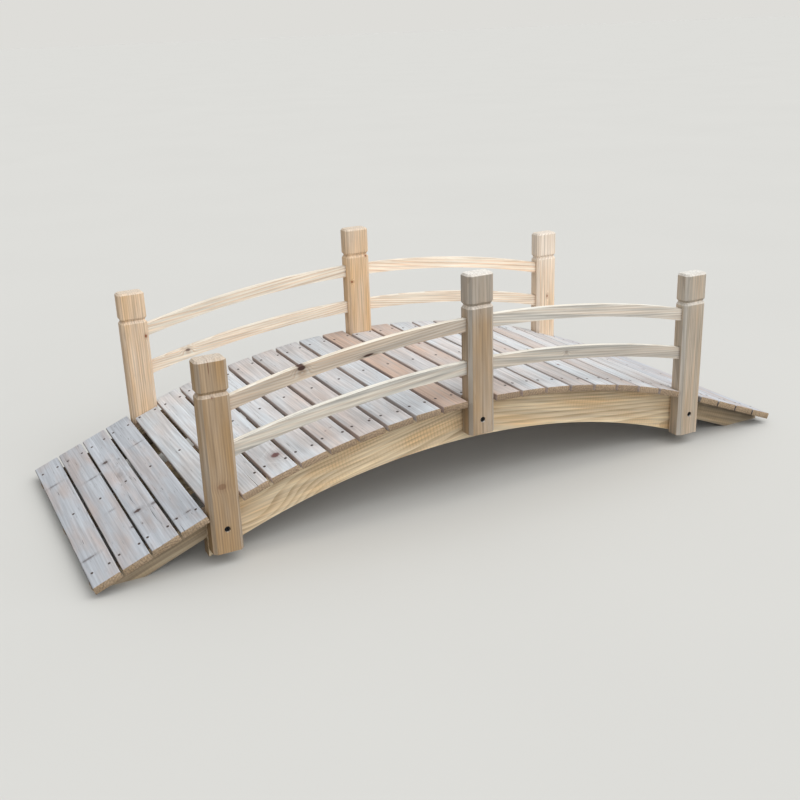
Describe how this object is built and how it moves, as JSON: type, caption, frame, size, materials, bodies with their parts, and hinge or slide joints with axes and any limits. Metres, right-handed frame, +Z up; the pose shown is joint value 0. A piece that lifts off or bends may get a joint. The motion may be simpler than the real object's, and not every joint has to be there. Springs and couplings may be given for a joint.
{
  "type": "arched wooden garden bridge",
  "caption": "Arched timber garden footbridge with planked deck, sloping ramps and low curved railings let into grooved posts.",
  "frame": {"origin": "on the ground, under the middle of the span", "axes": "+X along the bridge to the right in the picture, -Y the near side, +Z up"},
  "size_m": [2.4308, 0.914, 0.721],
  "materials": {
    "deck_plank_wood": "weathered, matte",
    "ramp_plank_wood": "weathered, matte",
    "post_wood": "planed, matte",
    "rail_wood": "planed, matte",
    "stringer_wood": "sawn, matte",
    "bolt_steel": "black oxide, satin"
  },
  "bodies": {
    "root": {"deck_plank_01": "deck_plank_wood", "deck_plank_02": "deck_plank_wood", "deck_plank_03": "deck_plank_wood", "deck_plank_04": "deck_plank_wood", "deck_plank_05": "deck_plank_wood", "deck_plank_06": "deck_plank_wood", "deck_plank_07": "deck_plank_wood", "deck_plank_08": "deck_plank_wood", "deck_plank_09": "deck_plank_wood", "deck_plank_10": "deck_plank_wood", "deck_plank_11": "deck_plank_wood", "deck_plank_12": "deck_plank_wood", "deck_plank_13": "deck_plank_wood", "deck_plank_14": "deck_plank_wood", "deck_plank_15": "deck_plank_wood", "deck_plank_16": "deck_plank_wood", "deck_plank_17": "deck_plank_wood", "deck_plank_18": "deck_plank_wood", "deck_plank_19": "deck_plank_wood", "lower_rail_far_left": "rail_wood", "lower_rail_far_right": "rail_wood", "lower_rail_near_left": "rail_wood", "lower_rail_near_right": "rail_wood", "post_bolts": "bolt_steel", "post_far_centre": "post_wood", "post_far_left": "post_wood", "post_far_right": "post_wood", "post_near_centre": "post_wood", "post_near_left": "post_wood", "post_near_right": "post_wood", "ramp_cleats": "stringer_wood", "ramp_planks_left": "ramp_plank_wood", "ramp_planks_right": "ramp_plank_wood", "ramp_stringers_left": "stringer_wood", "ramp_stringers_right": "stringer_wood", "stringer_far_left": "stringer_wood", "stringer_far_right": "stringer_wood", "stringer_middle_left": "stringer_wood", "stringer_middle_right": "stringer_wood", "stringer_near_left": "stringer_wood", "stringer_near_right": "stringer_wood", "top_rail_far_left": "rail_wood", "top_rail_far_right": "rail_wood", "top_rail_near_left": "rail_wood", "top_rail_near_right": "rail_wood"}
  },
  "joints": []
}
